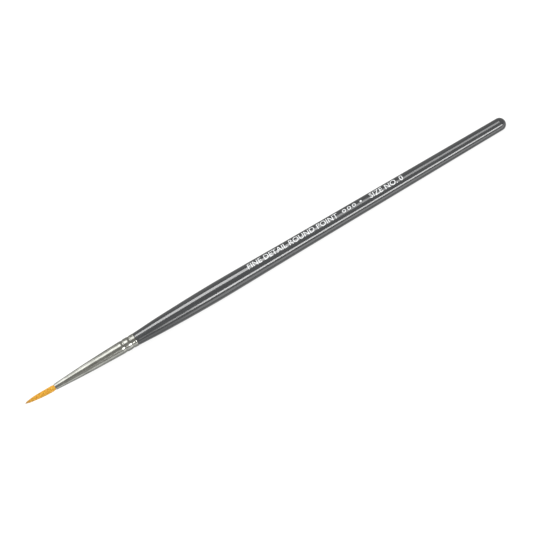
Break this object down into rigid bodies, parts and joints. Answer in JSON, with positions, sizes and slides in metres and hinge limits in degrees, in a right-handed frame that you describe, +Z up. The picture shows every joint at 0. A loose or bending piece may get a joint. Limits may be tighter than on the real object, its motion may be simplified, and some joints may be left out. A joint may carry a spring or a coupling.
{
  "type": "fine detail brush",
  "caption": "Slender round detail brush: lacquered wooden handle with a swollen grip, crimped nickel ferrule, fine pointed tuft of golden hair that bends.",
  "frame": {"origin": "under the middle of the brush's bounding box, on the surface it lies on", "axes": "+X from the hair's tip towards the tail of the handle, +Z up from the surface; the brush's own axis drops 0.51 degrees towards +X, because it rests on its swell and its thinner tail"},
  "size_m": [0.185, 0.0064, 0.0064],
  "materials": {
    "lacquered_wood": "gloss",
    "nickel_plate": "polished",
    "cured_glue": "gloss",
    "thread": "matte",
    "golden_hair": "satin"
  },
  "bodies": {
    "handle": {"handle": "lacquered_wood", "ferrule": "nickel_plate", "tenon_glue": "cured_glue", "root_glue": "cured_glue", "tie_thread": "thread", "hair_root": "golden_hair"},
    "hair_belly": {"hair_belly": "golden_hair"},
    "hair_point": {"hair_point": "golden_hair"}
  },
  "joints": [
    {"name": "hair_bend", "type": "hinge", "parent": "handle", "child": "hair_belly", "pos_m": [-0.08254, 0, 0.00375], "axis": [0, 1, 0], "range_deg": [-35, 35], "stiffness_Nm_per_rad": 0.0002},
    {"name": "point_bend", "type": "hinge", "parent": "hair_belly", "child": "hair_point", "pos_m": [-0.08729, 0.00012, 0.00392], "axis": [0.0089, 0, 1], "range_deg": [-30, 30], "stiffness_Nm_per_rad": 0.0001}
  ]
}
